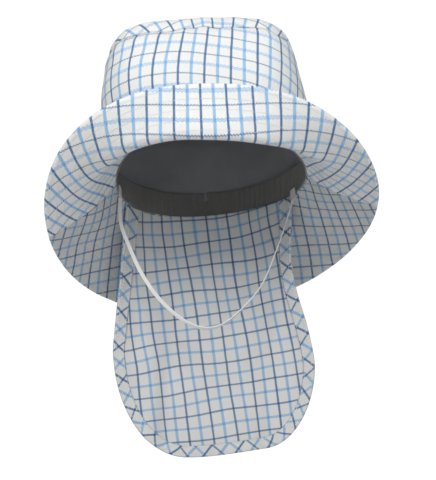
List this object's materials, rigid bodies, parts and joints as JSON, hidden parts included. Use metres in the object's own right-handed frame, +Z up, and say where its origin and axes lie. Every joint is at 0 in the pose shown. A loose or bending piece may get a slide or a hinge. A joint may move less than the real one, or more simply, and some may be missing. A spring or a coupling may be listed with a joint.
{
  "type": "sun hat with neck cape",
  "caption": "Wide-brimmed cloth sun hat with a dark lining, a cape that hangs over the neck and an elastic chin cord.",
  "frame": {"origin": "centre of the head opening", "axes": "+Z up, opposite gravity, with the hat worn leaning back 15 degrees; -Y towards the front of the hat; +X towards the wearer's left"},
  "size_m": [0.2965, 0.2691, 0.3876],
  "materials": {
    "crown_top": "white cotton twill with a blue check",
    "crown_front_panel": "white cotton twill with a blue check",
    "crown_back_panel": "white cotton twill with a blue check",
    "brim_upper_front": "white cotton twill with a blue check",
    "brim_upper_back": "white cotton twill with a blue check",
    "brim_under_front": "white cotton twill with a blue check",
    "brim_under_back": "white cotton twill with a blue check",
    "brim_interlining_front": "white non-woven stiffener",
    "brim_interlining_back": "white non-woven stiffener",
    "lining_top": "dark blue-grey lining cloth, matt",
    "lining_front_panel": "dark blue-grey lining cloth, matt",
    "lining_back_panel": "dark blue-grey lining cloth, matt",
    "sweatband": "dark brown-grey brushed cloth",
    "cape_sewn_edge": "white cotton twill with a blue check, wrong side",
    "cape_panel": "white cotton twill with a blue check, wrong side",
    "cape_bias_facing": "white cotton twill with a blue check, cut on the bias",
    "chin_cord": "flat white elastic braid",
    "cord_tab_left": "white cotton tape",
    "cord_tab_right": "white cotton tape"
  },
  "bodies": {
    "hat": {"crown_top": "crown_top", "crown_front_panel": "crown_front_panel", "crown_back_panel": "crown_back_panel", "lining_top": "lining_top", "lining_front_panel": "lining_front_panel", "lining_back_panel": "lining_back_panel", "sweatband": "sweatband", "brim_upper_front": "brim_upper_front", "brim_upper_back": "brim_upper_back", "brim_interlining_front": "brim_interlining_front", "brim_interlining_back": "brim_interlining_back", "brim_under_front": "brim_under_front", "brim_under_back": "brim_under_back", "cape_sewn_edge": "cape_sewn_edge", "cord_tab_left": "cord_tab_left", "cord_tab_right": "cord_tab_right"},
    "cape": {"cape_panel": "cape_panel", "cape_bias_facing": "cape_bias_facing"},
    "chin_cord": {"chin_cord": "chin_cord"}
  },
  "joints": [
    {"name": "cape_swing", "type": "hinge", "parent": "hat", "child": "cape", "pos_m": [0, 0.0736, -0.034], "axis": [1, 0, 0], "range_deg": [-10, 13]},
    {"name": "chin_cord_swing", "type": "hinge", "parent": "hat", "child": "chin_cord", "pos_m": [-0.00359, 0.02197, -0.01464], "axis": [0.9863, 0.1626, 0.0268], "range_deg": [-60, 8]}
  ]
}
